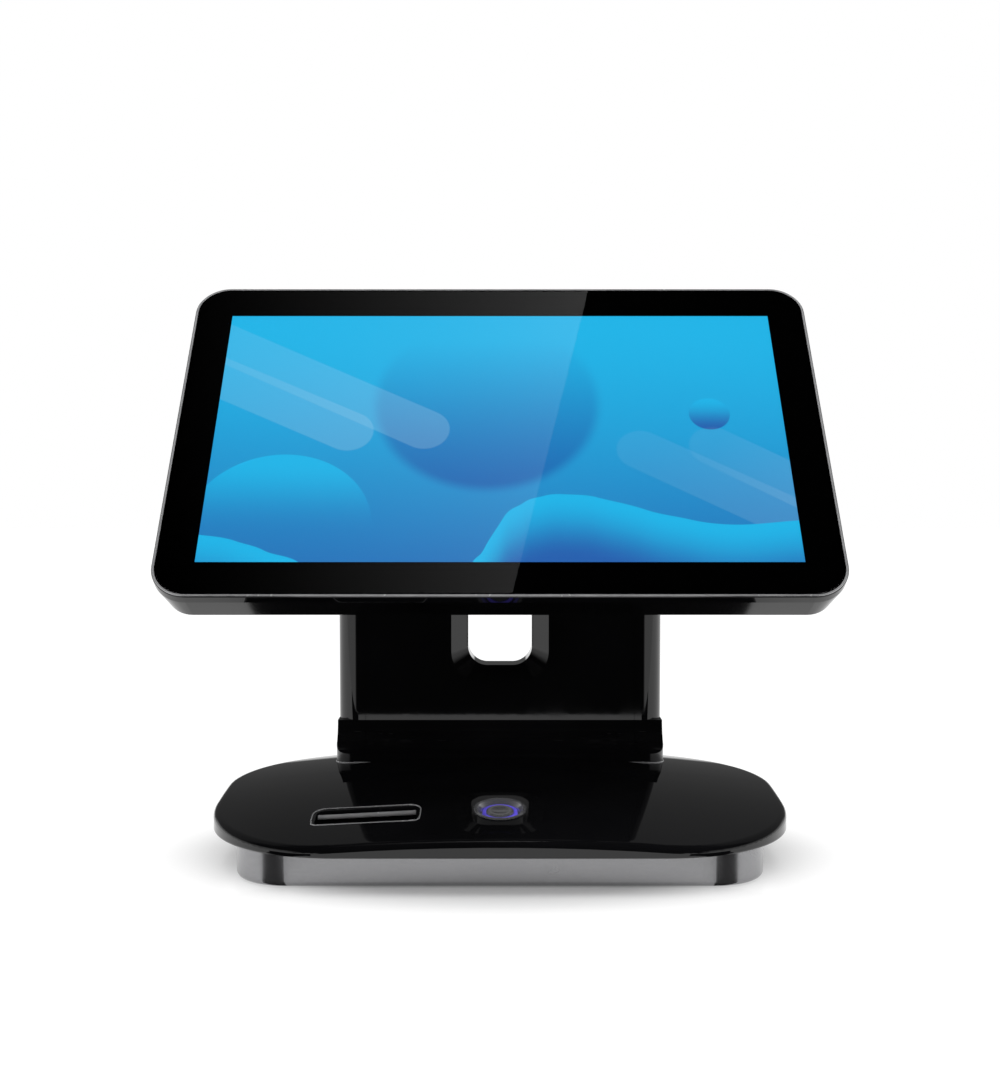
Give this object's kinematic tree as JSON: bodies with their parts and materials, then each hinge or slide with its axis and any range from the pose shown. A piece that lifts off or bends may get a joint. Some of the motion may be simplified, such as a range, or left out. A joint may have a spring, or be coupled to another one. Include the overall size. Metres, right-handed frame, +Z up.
{
  "type": "pos touchscreen terminal",
  "caption": "Counter-top touchscreen till: wide screen tilting on a friction hinge, broad neck with a cable hole, domed base with power button, card slot and rear sockets.",
  "frame": {"origin": "centre of the base footprint on the counter", "axes": "+X to the right of the person facing the screen, -Y towards that person, +Z up"},
  "size_m": [0.391, 0.2, 0.3548],
  "materials": {
    "black_enamel": "gloss enamel",
    "blue_light": "lit diffuser",
    "board_green": "solder resist",
    "brass": "turned",
    "bright_steel": "ground",
    "button_gloss": "gloss",
    "chip_black": "moulded",
    "cover_glass": "polished",
    "diffuser": "satin",
    "dish_chrome": "smoked chrome",
    "fin_aluminium": "extruded",
    "foam": "foam",
    "gloss_black": "piano gloss",
    "mask_black": "printed",
    "picture": "lit display",
    "plinth_grey": "metallic gloss lacquer",
    "rubber_black": "matt",
    "socket_black": "moulded",
    "socket_metal": "stamped",
    "zinc_steel": "zinc plated"
  },
  "bodies": {
    "base": {"plinth_tray": "plinth_grey", "rubber_feet": "rubber_black", "weight_plate": "zinc_steel", "board_standoffs": "brass", "main_board": "board_green", "board_screws": "zinc_steel", "processor": "chip_black", "heatsink": "fin_aluminium", "memory_socket": "socket_black", "memory_module": "board_green", "ssd_drive": "board_green", "io_panel": "zinc_steel", "base_shell": "gloss_black", "shell_screws": "zinc_steel", "neck_bridge": "zinc_steel", "button_dish": "dish_chrome", "light_ring": "blue_light", "switch_board": "board_green", "switch_cage": "socket_black", "card_slot_insert": "gloss_black", "card_roller": "dish_chrome", "card_reader": "socket_black", "dc_inlet": "socket_black", "serial_port": "socket_metal", "drawer_port": "socket_metal", "lan_port": "socket_metal", "hdmi_port": "socket_metal", "usb_port_left": "socket_metal", "usb_port_right": "socket_metal", "audio_jack": "socket_black", "neck_spine": "zinc_steel", "spine_bolts": "zinc_steel", "neck_front_cover": "gloss_black", "neck_rear_cover": "gloss_black", "neck_hole_liner": "gloss_black", "hinge_shaft": "bright_steel", "friction_discs": "bright_steel", "spring_washers": "bright_steel", "hinge_nuts": "zinc_steel"},
    "screen": {"touch_glass": "cover_glass", "glass_mask": "mask_black", "panel_gasket": "foam", "lcd_panel": "picture", "backlight": "diffuser", "lcd_tray": "zinc_steel", "screen_chassis": "zinc_steel", "chassis_posts": "brass", "driver_board": "board_green", "touch_board": "board_green", "speakers": "chip_black", "front_frame": "gloss_black", "rear_housing": "gloss_black", "cable_cover": "gloss_black", "housing_screws": "zinc_steel", "tilt_bracket": "black_enamel", "bracket_bolts": "zinc_steel", "hinge_caps": "gloss_black"},
    "button": {"power_button": "button_gloss"}
  },
  "joints": [
    {"name": "screen_tilt", "type": "hinge", "parent": "base", "child": "screen", "pos_m": [0, 0.052, 0.243], "axis": [1, 0, 0], "range_deg": [-25, 35]},
    {"name": "power_button_press", "type": "slide", "parent": "base", "child": "button", "axis": [0, 0.1693, -0.9856], "range_m": [0, 0.0012], "stiffness_N_per_m": 800, "springref_m": -0.0008}
  ]
}
